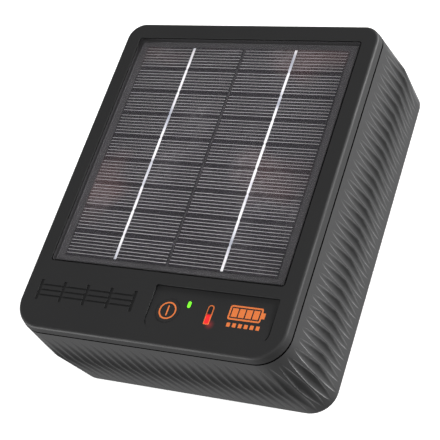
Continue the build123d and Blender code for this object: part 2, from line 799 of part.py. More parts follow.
os.makedirs("parts", exist_ok=True)
save("front_cover", front_cover())
save("cover_seal", cover_seal())
save("solar_glass", solar_glass())
save("panel_gasket", panel_gasket())
save("panel_backing", panel_backing())
save("solar_cells", group(solar_cells()))
save("busbar_ribbons", group(busbar_ribbons()))
save("power_key", power_key())
save("key_symbol", group(key_symbol()))
save("status_light_pipe", light_pipe(status_column()))
save("temperature_light_pipe", light_pipe(gauge_column()))
save("temperature_symbol", gauge_symbol())
save("battery_symbol", group(level_symbol()))
save("rear_housing", rear_housing())
save("left_rear_rail", rear_rail(left_rail_x))
save("right_rear_rail", rear_rail(right_rail_x))
save("vent_plug", vent_plug())
for side, name in ((-1, "fence"), (1, "earth")):
    save(f"{name}_stud", terminal_stud(side))
    save(f"{name}_stud_nut", terminal_nut(side))
    save(f"{name}_clamp_washer", terminal_washer(side))
    save(f"{name}_knob", terminal_knob(side))
save("stud_seals", group(stud_seals()))
save("cover_screws", group(cover_screws()))
save("main_board", main_board())
save("main_board_screws", group(main_board_screws()))
save("control_board", control_board())
save("control_board_screws", group(control_board_screws()))
save("switch_body", switch_body())
save("switch_plunger", switch_plunger())
save("status_led", led(status_x, status_y))
save("temperature_led", led(gauge_x, gauge_y))
save("transformer_core", transformer_core())
save("transformer_bobbin", transformer_bobbin())
save("transformer_windings", transformer_windings())
save("storage_capacitor", storage_capacitor())
save("heat_sink", heat_sink())
save("charge_choke", charge_choke())
save("lead_socket", lead_socket())
save("battery_cells", group([battery_cell(side) for side in (-1, 1)]))
save("battery_cradle", battery_cradle())
save("battery_straps", group([battery_strap(side) for side in (-1, 1)]))
save("cradle_screws", group(cradle_screws()))
save("battery_leads", group(battery_leads()))
save("output_leads", group(output_leads()))
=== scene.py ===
import math

import bmesh
import bpy
from mathutils import Matrix, Vector
from mathutils.bvhtree import BVHTree


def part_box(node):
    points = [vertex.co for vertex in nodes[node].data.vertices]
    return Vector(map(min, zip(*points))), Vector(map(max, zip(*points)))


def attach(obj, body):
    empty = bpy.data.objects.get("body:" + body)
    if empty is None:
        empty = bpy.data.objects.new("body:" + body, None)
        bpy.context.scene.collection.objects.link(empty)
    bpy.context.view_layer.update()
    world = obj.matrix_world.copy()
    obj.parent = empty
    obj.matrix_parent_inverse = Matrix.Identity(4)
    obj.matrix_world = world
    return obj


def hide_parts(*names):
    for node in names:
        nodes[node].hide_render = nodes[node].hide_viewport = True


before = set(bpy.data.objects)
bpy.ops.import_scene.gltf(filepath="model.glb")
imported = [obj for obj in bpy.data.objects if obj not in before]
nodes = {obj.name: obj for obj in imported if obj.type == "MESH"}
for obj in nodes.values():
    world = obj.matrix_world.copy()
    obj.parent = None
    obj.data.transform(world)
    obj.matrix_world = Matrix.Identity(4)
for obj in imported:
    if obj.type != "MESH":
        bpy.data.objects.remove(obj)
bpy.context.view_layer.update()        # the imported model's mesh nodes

mm = 0.001
mouthLow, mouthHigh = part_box("cover_seal")
caseLow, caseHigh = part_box("rear_housing")
cellsLow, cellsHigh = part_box("solar_cells")


def linkNew(name, mesh):
    obj = bpy.data.objects.new(name, mesh)
    bpy.context.scene.collection.objects.link(obj)
    return obj


def plainCopy(obj, name):
    # a merged copy of a CAD node, so its triangles share their corners
    bm = bmesh.new()
    bm.from_mesh(obj.data)
    bmesh.ops.remove_doubles(bm, verts=bm.verts, dist=1e-6)
    mesh = bpy.data.meshes.new(name)
    bm.to_mesh(mesh)
    bm.free()
    return linkNew(name, mesh)


def bake(obj, name):
    # the evaluated result of an object's modifiers, as a plain mesh object
    graph = bpy.context.evaluated_depsgraph_get()
    mesh = bpy.data.meshes.new_from_object(obj.evaluated_get(graph))
    mesh.name = name
    bpy.data.objects.remove(obj)
    return linkNew(name, mesh)


def dress(obj, material):
    obj.data.materials.clear()
    obj.data.materials.append(material)


def tidySlivers(obj, distance):
    # needle-thin faces left by a cut would shade as stray lines
    bm = bmesh.new()
    bm.from_mesh(obj.data)
    bmesh.ops.dissolve_degenerate(bm, dist=distance, edges=bm.edges[:])
    bm.to_mesh(obj.data)
    bm.free()


# areas in square metres: two flats above flatArea meet crisply, and a flat above wideArea always does
shading = dict(flatArea=3e-6, wideArea=4e-3, sameFlat=0.004, crispTurn=0.5)      # radians, then degrees


def smooth(obj, degrees, flatArea=shading["flatArea"]):
    # rounds are shaded smoothly, and flat stretches keep their edges
    bm = bmesh.new()
    bm.from_mesh(obj.data)
    region = {}
    for start in bm.faces:
        if start in region:
            continue
        found, queue, area = [], [start], 0.0
        region[start] = None
        while queue:
            face = queue.pop()
            found.append(face)
            area += face.calc_area()
            for edge in face.edges:
                for other in edge.link_faces:
                    if other not in region and face.normal.angle(other.normal, 1.0) < shading["sameFlat"]:
                        region[other] = None
                        queue.append(other)
        for face in found:
            region[face] = area
            face.smooth = True
    for edge in bm.edges:
        faces = edge.link_faces
        turn = math.degrees(faces[0].normal.angle(faces[1].normal, 3.0)) if len(faces) == 2 else 180
        areas = [region[face] for face in faces] or [0.0]
        flats = min(areas) > flatArea or max(areas) > shading["wideArea"]
        edge.smooth = turn < degrees and not (flats and turn > shading["crispTurn"])
    bm.to_mesh(obj.data)
    bm.free()


def faceted(node, name, angle=30):
    # stands for a CAD node with its rounded edges shaded smoothly
    obj = plainCopy(nodes[node], name)
    smooth(obj, angle)
    weigh = obj.modifiers.new("weigh", "WEIGHTED_NORMAL")
    weigh.keep_sharp = True
    return bake(obj, name)


def addNode(tree, kind, inputs=None, **settings):
    node = tree.nodes.new(kind)
    for key, value in settings.items():
        setattr(node, key, value)
    for key, value in (inputs or {}).items():
        socket = node.inputs[key]
        if isinstance(value, bpy.types.NodeSocket):
            tree.links.new(value, socket)
        else:
            socket.default_value = value
    return node


def calc(tree, operation, first, second=0.0):
    return addNode(tree, "ShaderNodeMath", {0: first, 1: second}, operation=operation).outputs[0]


def vectorCalc(tree, operation, first, second=(0, 0, 0)):
    made = addNode(tree, "ShaderNodeVectorMath", {0: first, 1: second}, operation=operation)
    return made.outputs[0]


def scaled(tree, vector, factor):
    made = addNode(tree, "ShaderNodeVectorMath", {0: vector, "Scale": factor}, operation="SCALE")
    return made.outputs[0]


def newTree(name, sockets):
    # a geometry tree with named inputs, each (name, socket type, default)
    tree = bpy.data.node_groups.new(name, "GeometryNodeTree")
    tree.interface.new_socket("Geometry", in_out="OUTPUT", socket_type="NodeSocketGeometry")
    tree.interface.new_socket("Geometry", in_out="INPUT", socket_type="NodeSocketGeometry")
    for label, kind, default in sockets:
        socket = tree.interface.new_socket(label, in_out="INPUT", socket_type=kind)
        if default is not None:
            socket.default_value = default
    source = tree.nodes.new("NodeGroupInput")
    return tree, source.outputs


def closeTree(tree, geometry, material):
    real = addNode(tree, "GeometryNodeRealizeInstances", {0: geometry})
    painted = addNode(tree, "GeometryNodeSetMaterial", {0: real.outputs[0], "Material": material})
    end = tree.nodes.new("NodeGroupOutput")
    tree.links.new(painted.outputs[0], end.inputs[0])


def grow(obj, tree, values):
    # gives the object the tree, with its inputs set by their identifiers
    modifier = obj.modifiers.new(tree.name, "NODES")
    modifier.node_group = tree
    for item in tree.interface.items_tree:
        if item.item_type == "SOCKET" and item.in_out == "INPUT" and item.name in values:
            modifier[item.identifier] = values[item.name]
    return bake(obj, obj.name)


def shaderGroup(name, inputs, outputs):
    group = bpy.data.node_groups.new(name, "ShaderNodeTree")
    for label, default in inputs:
        socket = group.interface.new_socket(label, in_out="INPUT", socket_type="NodeSocketFloat")
        socket.default_value = default
    for label in outputs:
        group.interface.new_socket(label, in_out="OUTPUT", socket_type="NodeSocketFloat")
    return group, group.nodes.new("NodeGroupInput").outputs, group.nodes.new("NodeGroupOutput").inputs


def buildMouldGrain():
    # the spark-eroded skin of a moulded part: fine grain, and a slow unevenness under it
    group, given, out = shaderGroup("mouldGrain", [("Grain Size", 0.35), ("Unevenness", 0.5)],
                                    ["Height", "Tone"])
    place = group.nodes.new("ShaderNodeTexCoord").outputs["Object"]
    fineScale = calc(group, "DIVIDE", 1000.0, given["Grain Size"])
    fine = addNode(group, "ShaderNodeTexNoise", {"Vector": place, "Scale": fineScale, "Detail": 2.0})
    slow = addNode(group, "ShaderNodeTexNoise", {"Vector": place, "Scale": 22.0, "Detail": 3.0})
    group.links.new(fine.outputs[0], out["Height"])
    centred = calc(group, "SUBTRACT", slow.outputs[0], 0.5)
    spread = calc(group, "MULTIPLY", centred, given["Unevenness"])
    grainPart = calc(group, "MULTIPLY", calc(group, "SUBTRACT", fine.outputs[0], 0.5), 0.25)
    group.links.new(calc(group, "ADD", calc(group, "ADD", spread, grainPart), 0.5), out["Tone"])
    return group


def buildFineLines():
    # turned or brushed lines along one axis of a metal piece
    group, given, out = shaderGroup("fineLines", [("Line Scale", 900.0), ("Stretch", 12.0)],
                                    ["Height", "Tone"])
    place = group.nodes.new("ShaderNodeTexCoord").outputs["Object"]
    split = addNode(group, "ShaderNodeSeparateXYZ", {0: place})
    slowX = calc(group, "DIVIDE", split.outputs[0], given["Stretch"])
    joined = addNode(group, "ShaderNodeCombineXYZ", {0: slowX, 1: split.outputs[1], 2: split.outputs[2]})
    noise = addNode(group, "ShaderNodeTexNoise",
                    {"Vector": joined.outputs[0], "Scale": given["Line Scale"], "Detail": 3.0})
    group.links.new(noise.outputs[0], out["Height"])
    group.links.new(noise.outputs[0], out["Tone"])
    return group


mouldGrain = buildMouldGrain()
fineLines = buildFineLines()


def startMaterial(name, **shaderValues):
    material = bpy.data.materials.new(name)
    material.use_nodes = True
    tree = material.node_tree
    shader = tree.nodes["Principled BSDF"]
    for key, value in shaderValues.items():
        shader.inputs[key.replace("_", " ")].default_value = value
    return material, tree, shader


def ramp(tree, factor, low, high, fromLow=0.0, fromHigh=1.0):
    made = addNode(tree, "ShaderNodeMapRange", {"Value": factor, "From Min": fromLow, "From Max": fromHigh,
                                                "To Min": low, "To Max": high})
    return made.outputs[0]


def mixColours(tree, factor, first, second):
    made = addNode(tree, "ShaderNodeMix", {0: factor, 6: (*first, 1), 7: (*second, 1)}, data_type="RGBA")
    return made.outputs[2]


def addBump(tree, shader, height, depth, distance):
    bump = addNode(tree, "ShaderNodeBump", {"Height": height, "Strength": depth, "Distance": distance})
    tree.links.new(bump.outputs[0], shader.inputs["Normal"])


skinDepth = 0.05 * mm      # how deep the moulded grain goes


def moulded(name, dark, light, grain=0.35, roughness=(0.42, 0.55), bump=0.12, **values):
    # any injection-moulded plastic or rubber
    material, tree, shader = startMaterial(name, **values)
    skin = addNode(tree, "ShaderNodeGroup", node_tree=mouldGrain)
    skin.inputs["Grain Size"].default_value = grain
    tree.links.new(mixColours(tree, skin.outputs["Tone"], dark, light), shader.inputs["Base Color"])
    tree.links.new(ramp(tree, skin.outputs["Tone"], *roughness), shader.inputs["Roughness"])
    addBump(tree, shader, skin.outputs["Height"], bump, skinDepth)
    return material


# colour and reach of the painted shade along the joint between cover and housing
jointShade = dict(colour=(0.002, 0.002, 0.002), onHousing=0.22 * mm, onCover=0.18 * mm, soften=0.08 * mm)


def paintJointShade(tree, shader, belowSeal):
    # painted shade: a dark stripe along the rim beside the cover seal, where little light reaches
    place = tree.nodes.new("ShaderNodeTexCoord").outputs["Object"]
    height = addNode(tree, "ShaderNodeSeparateXYZ", {0: place}).outputs[2]
    soften = jointShade["soften"]
    if belowSeal:
        edge = mouthLow.z - jointShade["onHousing"]
        shade = ramp(tree, height, 0.0, 1.0, edge - soften, edge)
    else:
        edge = mouthHigh.z + jointShade["onCover"]
        shade = ramp(tree, height, 1.0, 0.0, edge, edge + soften)
    plain = shader.inputs["Base Color"].links[0].from_socket
    mixed = addNode(tree, "ShaderNodeMix", {0: shade, 6: plain, 7: (*jointShade["colour"], 1)},
                    data_type="RGBA")
    tree.links.new(mixed.outputs[2], shader.inputs["Base Color"])
    matt = shader.inputs["Specular IOR Level"].default_value
    tree.links.new(ramp(tree, shade, matt, 0.0), shader.inputs["Specular IOR Level"])


# crest is the colour of the painted highlight along the flutes' crests
housingPaint = dict(dark=(0.028, 0.028, 0.0285), light=(0.042, 0.042, 0.0425), crest=(0.30, 0.30, 0.302),
                    grain=0.45, roughness=(0.38, 0.48), crestRoughness=0.3, bump=0.12)


def makeHousingPlastic():
    # the moulded skin, with a painted highlight, paler and smoother, along the flutes' crests
    material, tree, shader = startMaterial("housingPlastic", Specular_IOR_Level=0.3)
    skin = addNode(tree, "ShaderNodeGroup", node_tree=mouldGrain)
    skin.inputs["Grain Size"].default_value = housingPaint["grain"]
    # the painted highlight along the crests, read from the crest attribute
    crest = addNode(tree, "ShaderNodeAttribute", attribute_name="crest").outputs["Fac"]
    paintedCrestHighlight = calc(tree, "MULTIPLY", crest, ramp(tree, skin.outputs["Tone"], 0.7, 1.0))
    plain = mixColours(tree, skin.outputs["Tone"], housingPaint["dark"], housingPaint["light"])
    colour = addNode(tree, "ShaderNodeMix", {0: paintedCrestHighlight, 6: plain, 7: (*housingPaint["crest"], 1)},
                     data_type="RGBA")
    tree.links.new(colour.outputs[2], shader.inputs["Base Color"])
    matt = ramp(tree, skin.outputs["Tone"], *housingPaint["roughness"])
    rough = addNode(tree, "ShaderNodeMix", {0: paintedCrestHighlight, 2: matt, 3: housingPaint["crestRoughness"]})
    tree.links.new(rough.outputs[0], shader.inputs["Roughness"])
    addBump(tree, shader, skin.outputs["Height"], housingPaint["bump"], skinDepth)
    # painted shade along the housing's rim below the cover seal
    paintJointShade(tree, shader, True)
    return material


def metal(name, dark, light, roughness=(0.22, 0.4), stretch=12.0):
    material, tree, shader = startMaterial(name, Metallic=1.0)
    lines = addNode(tree, "ShaderNodeGroup", node_tree=fineLines)
    lines.inputs["Stretch"].default_value = stretch
    tree.links.new(mixColours(tree, lines.outputs["Tone"], dark, light), shader.inputs["Base Color"])
    tree.links.new(ramp(tree, lines.outputs["Tone"], *roughness), shader.inputs["Roughness"])
    addBump(tree, shader, lines.outputs["Height"], 0.1, 0.02 * mm)
    return material


# the reddish patches are painted reflection, and the pale sparkle is painted glints
cellPaint = dict(dark=(0.006, 0.0055, 0.008), light=(0.024, 0.021, 0.027), cloudScale=14.0, cloudShare=0.8,
                 grainScale=420.0, grainShare=0.25, reflectionTint=(0.085, 0.036, 0.034), reflectionScale=16.0, reflectionFrom=0.52,
                 reflectionTo=0.75, reflectionMost=0.8, paintedGlint=(0.16, 0.15, 0.155), glintFrom=0.50, glintTo=0.78)


def makeCellSilicon():
    # near-black silicon, with reddish patches of painted reflection and a sparkle of painted glints here and
    # there
    material, tree, shader = startMaterial("cellSilicon", Roughness=0.45, Specular_IOR_Level=0.12)
    place = tree.nodes.new("ShaderNodeTexCoord").outputs["Object"]
    cloud = addNode(tree, "ShaderNodeTexNoise", {"Vector": place, "Scale": cellPaint["cloudScale"],
                                                 "Detail": 4.0, "Roughness": 0.6})
    grain = addNode(tree, "ShaderNodeTexVoronoi", {"Vector": place, "Scale": cellPaint["grainScale"]})
    tone = calc(tree, "ADD", calc(tree, "MULTIPLY", cloud.outputs[0], cellPaint["cloudShare"]),
                calc(tree, "MULTIPLY", grain.outputs[0], cellPaint["grainShare"]))
    plain = mixColours(tree, tone, cellPaint["dark"], cellPaint["light"])
    # reddish patches of painted reflection
    reflectionCloud = addNode(tree, "ShaderNodeTexNoise", {"Vector": place, "Scale": cellPaint["reflectionScale"],
                                                 "Detail": 2.0}).outputs[0]
    reflectionShare = ramp(tree, reflectionCloud, 0.0, cellPaint["reflectionMost"], cellPaint["reflectionFrom"], cellPaint["reflectionTo"])
    reflected = addNode(tree, "ShaderNodeMix", {0: reflectionShare, 6: plain, 7: (*cellPaint["reflectionTint"], 1)},
                     data_type="RGBA")
    # a pale sparkle of painted glints in the cloudier stretches
    paintedGlint = ramp(tree, cloud.outputs[0], 0.0, 1.0, cellPaint["glintFrom"], cellPaint["glintTo"])
    sparkle = calc(tree, "MULTIPLY", paintedGlint, grain.outputs["Color"])
    glinted = addNode(tree, "ShaderNodeMix", {0: sparkle, 6: reflected.outputs[2], 7: (*cellPaint["paintedGlint"], 1)},
                      data_type="RGBA")
    tree.links.new(glinted.outputs[2], shader.inputs["Base Color"])
    tree.links.new(ramp(tree, tone, 0.35, 0.55), shader.inputs["Roughness"])
    addBump(tree, shader, grain.outputs[0], 0.1, 0.02 * mm)
    return material


glassLook = dict(tint=(0.93, 0.92, 0.94), peelScale=260.0, smearScale=18.0, clearest=0.05, haziest=0.14)


def makePanelGlass():
    # clear solar glass with a faint orange-peel surface
    material, tree, shader = startMaterial("panelGlass", IOR=1.45, Transmission_Weight=1.0)
    shader.inputs["Base Color"].default_value = (*glassLook["tint"], 1)
    place = tree.nodes.new("ShaderNodeTexCoord").outputs["Object"]
    peel = addNode(tree, "ShaderNodeTexNoise", {"Vector": place, "Scale": glassLook["peelScale"],
                                                "Detail": 2.0})
    smear = addNode(tree, "ShaderNodeTexNoise", {"Vector": place, "Scale": glassLook["smearScale"],
                                                 "Detail": 3.0})
    tree.links.new(ramp(tree, smear.outputs[0], glassLook["clearest"], glassLook["haziest"], 0.3, 0.7),
                   shader.inputs["Roughness"])
    addBump(tree, shader, peel.outputs[0], 0.02, 0.01 * mm)
    return material


def lit(name, colour, glow, strength):
    # a light pipe that is switched on, a little uneven across its end
    material, tree, shader = startMaterial(name, Roughness=0.3, Emission_Strength=strength)
    place = tree.nodes.new("ShaderNodeTexCoord").outputs["Object"]
    cloud = addNode(tree, "ShaderNodeTexNoise", {"Vector": place, "Scale": 300.0, "Detail": 1.0})
    tree.links.new(mixColours(tree, cloud.outputs[0], colour, glow), shader.inputs["Base Color"])
    tree.links.new(mixColours(tree, cloud.outputs[0], colour, glow), shader.inputs["Emission Color"])
    return material


# the duller colour is painted shade in stretches along the strips
ribbonPaint = dict(bright=(0.98, 0.98, 0.99), tiltShade=(0.40, 0.43, 0.50), patches=55.0, tiltShadeFrom=0.46,
                   tiltShadeTo=0.66)


def makeTinnedRibbon():
    # solder-tinned copper strip, bright with duller, bluish stretches of painted shade for the tone that
    # changes with each stretch's tilt
    material, tree, shader = startMaterial("tinnedRibbon", Metallic=0.3)
    lines = addNode(tree, "ShaderNodeGroup", node_tree=fineLines)
    place = tree.nodes.new("ShaderNodeTexCoord").outputs["Object"]
    patches = addNode(tree, "ShaderNodeTexNoise", {"Vector": place, "Scale": ribbonPaint["patches"],
                                                   "Detail": 2.0}).outputs[0]
    # painted shade in stretches along the strip
    tiltShade = ramp(tree, patches, 0.0, 1.0, ribbonPaint["tiltShadeFrom"], ribbonPaint["tiltShadeTo"])
    tree.links.new(mixColours(tree, tiltShade, ribbonPaint["bright"], ribbonPaint["tiltShade"]),
                   shader.inputs["Base Color"])
    tree.links.new(ramp(tree, tiltShade, 0.3, 0.55), shader.inputs["Roughness"])
    addBump(tree, shader, lines.outputs["Height"], 0.2, 0.03 * mm)
    return material


gaugeLight = dict(red=(0.85, 0.012, 0.015), dim=(0.012, 0.010, 0.012), fill=0.46, soften=0.10,
                  strength=1.2)


def makeGaugeLight():
    # the gauge window is lit red in its lower part and dark above
    material, tree, shader = startMaterial("gaugeLight", Roughness=0.25,
                                           Emission_Strength=gaugeLight["strength"])
    low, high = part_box("temperature_light_pipe")
    place = tree.nodes.new("ShaderNodeTexCoord").outputs["Object"]
    along = addNode(tree, "ShaderNodeSeparateXYZ", {0: place}).outputs[1]
    edge = low.y + (high.y - low.y) * gaugeLight["fill"]
    soft = (high.y - low.y) * gaugeLight["soften"]
    fill = ramp(tree, along, 1.0, 0.0, edge - soft, edge + soft)
    tree.links.new(mixColours(tree, fill, gaugeLight["dim"], gaugeLight["red"]),
                   shader.inputs["Base Color"])
    tree.links.new(mixColours(tree, fill, (0, 0, 0), gaugeLight["red"]), shader.inputs["Emission Color"])
    return material


lightSpill = dict(colour=(0.85, 0.02, 0.035), strength=0.30, radius=3.2 * mm, falloff=1.6,
                  right=0.9 * mm, down=0.3 * mm)


def makeCoverPlastic():
    # the moulded face, with the soft red spill of the gauge's lamp beside its foot
    material = moulded("coverPlastic", (0.021, 0.021, 0.0214), (0.029, 0.029, 0.0294), 0.4, (0.46, 0.58),
                       Specular_IOR_Level=0.16)
    tree = material.node_tree
    shader = next(node for node in tree.nodes if node.type == "BSDF_PRINCIPLED")
    low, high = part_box("temperature_light_pipe")
    place = tree.nodes.new("ShaderNodeTexCoord").outputs["Object"]
    middle = (high.x + lightSpill["right"], low.y - lightSpill["down"], high.z)
    away = addNode(tree, "ShaderNodeVectorMath", {0: place, 1: middle}, operation="DISTANCE").outputs["Value"]
    fade = ramp(tree, away, 1.0, 0.0, 0.0, lightSpill["radius"])
    shader.inputs["Emission Color"].default_value = (*lightSpill["colour"], 1)
    spill = calc(tree, "POWER", fade, lightSpill["falloff"])
    tree.links.new(calc(tree, "MULTIPLY", spill, lightSpill["strength"]), shader.inputs["Emission Strength"])
    # painted shade along the cover's rim above the seal
    paintJointShade(tree, shader, False)
    return material


gasketPaint = dict(line=(0.002, 0.002, 0.002), side=(0.030, 0.029, 0.031), lineDepth=0.25 * mm,
                   soften=0.15 * mm)


def makeGasketRubber():
    # black along its top edge, with the paler clear bedding below it under the glass
    material, tree, shader = startMaterial("gasketRubber", Roughness=0.6, Specular_IOR_Level=0.1)
    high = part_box("panel_gasket")[1]
    place = tree.nodes.new("ShaderNodeTexCoord").outputs["Object"]
    height = addNode(tree, "ShaderNodeSeparateXYZ", {0: place}).outputs[2]
    edge = high.z - gasketPaint["lineDepth"]
    top = ramp(tree, height, 0.0, 1.0, edge - gasketPaint["soften"], edge)
    tree.links.new(mixColours(tree, top, gasketPaint["side"], gasketPaint["line"]),
                   shader.inputs["Base Color"])
    return material


print("materials")
materials = {
    "coverPlastic": makeCoverPlastic(),
    "housingPlastic": makeHousingPlastic(),
    # near-black seal rubber, blacker than rubber is so that it also stands for painted shade in the joint
    "sealRubber": moulded("sealRubber", (0.001, 0.001, 0.001), (0.003, 0.003, 0.003), 0.3, (0.8, 0.95),
                          Specular_IOR_Level=0.04),
    "gasketRubber": makeGasketRubber(),
    "panelGlass": makePanelGlass(),
    "cellSilicon": makeCellSilicon(),
    "tinnedRibbon": makeTinnedRibbon(),
    "silverPaste": moulded("silverPaste", (0.17, 0.168, 0.168), (0.56, 0.55, 0.545), 1.6, (0.4, 0.6),
                           Specular_IOR_Level=0.1),
    "backingBoard": moulded("backingBoard", (0.034, 0.033, 0.035), (0.042, 0.040, 0.043), 0.8, (0.4, 0.6)),
    "keyPlastic": moulded("keyPlastic", (0.021, 0.021, 0.0214), (0.029, 0.029, 0.0294), 0.4, (0.5, 0.6),
                          Specular_IOR_Level=0.12),
    "orangePrint": moulded("orangePrint", (0.74, 0.170, 0.035), (0.90, 0.235, 0.055), 0.3, (0.45, 0.6)),
    "greenLight": lit("greenLight", (0.10, 0.80, 0.02), (0.24, 0.95, 0.03), 0.75),
    "gaugeLight": makeGaugeLight(),
    "railRubber": moulded("railRubber", (0.006, 0.006, 0.006), (0.016, 0.016, 0.016), 0.5, (0.6, 0.8)),
    "blackNylon": moulded("blackNylon", (0.010, 0.010, 0.010), (0.024, 0.024, 0.024), 0.3, (0.35, 0.5)),
    "stainless": metal("stainless", (0.50, 0.50, 0.49), (0.66, 0.66, 0.64)),
    "redPlastic": moulded("redPlastic", (0.50, 0.020, 0.014), (0.66, 0.036, 0.024), 0.3, (0.3, 0.45)),
    "greenPlastic": moulded("greenPlastic", (0.012, 0.23, 0.045), (0.022, 0.32, 0.07), 0.3, (0.3, 0.45)),
    "zincSteel": metal("zincSteel", (0.58, 0.59, 0.60), (0.74, 0.75, 0.76)),
    "boardLaminate": moulded("boardLaminate", (0.010, 0.13, 0.05), (0.02, 0.19, 0.08), 0.6, (0.25, 0.4)),
    "ledResin": moulded("ledResin", (0.75, 0.74, 0.60), (0.9, 0.88, 0.75), 0.3, (0.15, 0.3)),
    "ferrite": moulded("ferrite", (0.03, 0.03, 0.034), (0.06, 0.06, 0.065), 0.5, (0.4, 0.6)),
    "naturalNylon": moulded("naturalNylon", (0.66, 0.62, 0.50), (0.80, 0.77, 0.66), 0.3, (0.4, 0.5)),
    "copperWire": metal("copperWire", (0.45, 0.15, 0.05), (0.75, 0.32, 0.14), (0.25, 0.4), 30.0),
    "blueSleeve": moulded("blueSleeve", (0.012, 0.035, 0.17), (0.02, 0.06, 0.26), 0.4, (0.2, 0.35)),
    "blackAluminium": metal("blackAluminium", (0.03, 0.03, 0.03), (0.06, 0.06, 0.06)),
    "cellWrap": moulded("cellWrap", (0.03, 0.16, 0.45), (0.06, 0.26, 0.62), 0.4, (0.2, 0.35)),
    "redInsulation": moulded("redInsulation", (0.35, 0.012, 0.012), (0.5, 0.022, 0.02), 0.3, (0.35, 0.5)),
}
nodeFinish = {
    "coverPlastic": ["front_cover"], "housingPlastic": ["rear_housing"],
    "sealRubber": ["cover_seal", "stud_seals"], "gasketRubber": ["panel_gasket"],
    "panelGlass": ["solar_glass"],
    "cellSilicon": ["solar_cells"], "tinnedRibbon": ["busbar_ribbons"], "backingBoard": ["panel_backing"],
    "keyPlastic": ["power_key"], "orangePrint": ["key_symbol", "temperature_symbol", "battery_symbol"],
    "greenLight": ["status_light_pipe"], "gaugeLight": ["temperature_light_pipe"],
    "railRubber": ["left_rear_rail", "right_rear_rail"],
    "blackNylon": ["vent_plug", "switch_body", "switch_plunger", "battery_cradle", "lead_socket",
                   "battery_straps"],
    "stainless": ["fence_stud", "earth_stud", "fence_stud_nut", "earth_stud_nut", "fence_clamp_washer",
                  "earth_clamp_washer"],
    "redPlastic": ["fence_knob"], "greenPlastic": ["earth_knob"],
    "zincSteel": ["cover_screws", "main_board_screws", "control_board_screws", "cradle_screws"],
    "boardLaminate": ["main_board", "control_board"], "ledResin": ["status_led", "temperature_led"],
    "ferrite": ["transformer_core", "charge_choke"], "naturalNylon": ["transformer_bobbin"],
    "copperWire": ["transformer_windings"], "blueSleeve": ["storage_capacitor"],
    "blackAluminium": ["heat_sink"], "cellWrap": ["battery_cells"],
    "redInsulation": ["battery_leads", "output_leads"],
}
for finish, names in nodeFinish.items():
    for name in names:
        dress(nodes[name], materials[finish])

# each flute is a leaf-shaped scoop, widest on the housing's ridge and fading to a point at both ends
flutes = dict(pitch=6.04 * mm, radius=2.89 * mm, depth=2.0 * mm, skew=4.6 * mm, ridgeAbove=37.6 * mm,
              topMargin=4.1 * mm, backMargin=4.9 * mm, overrun=1.08, steps=42, sides=28,
              castFrom=20 * mm, castLength=50 * mm, ridgeCornerTop=11.6 * mm,
              ridgeCornerBottom=16.5 * mm, cornerSteps=12, ridgeTolerance=0.2 * mm, sliver=0.003 * mm,
              shadeAngle=9, flatArea=2e-4)      # shadeAngle in degrees, flatArea in square metres
# the painted highlight along the flutes' crests: its reach, and how it fades round the corners and down the
# flutes
crests = dict(reach=0.6 * mm, onWall=0.01 * mm, squareFrom=0.70, squareOver=0.28, cornerHighlight=0.35,
              flatter=12.0, steeper=35.0)      # last two in degrees


def ridgeLoop():
    # the widest outline of the housing, counterclockwise seen from the face
    left, right = caseLow.x, caseHigh.x
    widest = [v.co for v in nodes["rear_housing"].data.vertices
              if abs(v.co.z - caseLow.z - flutes["ridgeAbove"]) < flutes["ridgeTolerance"]]
    low, high = min(p.y for p in widest), max(p.y for p in widest)
    points = []
    corners = [(right, low, flutes["ridgeCornerBottom"], 270), (right, high, flutes["ridgeCornerTop"], 0),
               (left, high, flutes["ridgeCornerTop"], 90), (left, low, flutes["ridgeCornerBottom"], 180)]
    for x, y, radius, start in corners:
        centreX = x - radius if x > 0 else x + radius
        centreY = y - radius if y > 0 else y + radius
        for step in range(flutes["cornerSteps"] + 1):
            angle = math.radians(start + 90 * step / flutes["cornerSteps"])
            points.append((centreX + radius * math.cos(angle), centreY + radius * math.sin(angle)))
    curve = bpy.data.curves.new("ridgeLoop", "CURVE")
    curve.dimensions = "3D"
    spline = curve.splines.new("POLY")
    spline.points.add(len(points) - 1)
    for point, (x, y) in zip(spline.points, points):
        point.co = (x, y, caseLow.z + flutes["ridgeAbove"], 1)
    spline.use_cyclic_u = True
    length = sum(math.dist(a, b) for a, b in zip(points, points[1:] + points[:1]))
    return linkNew("fluteTools", curve), round(length / flutes["pitch"])


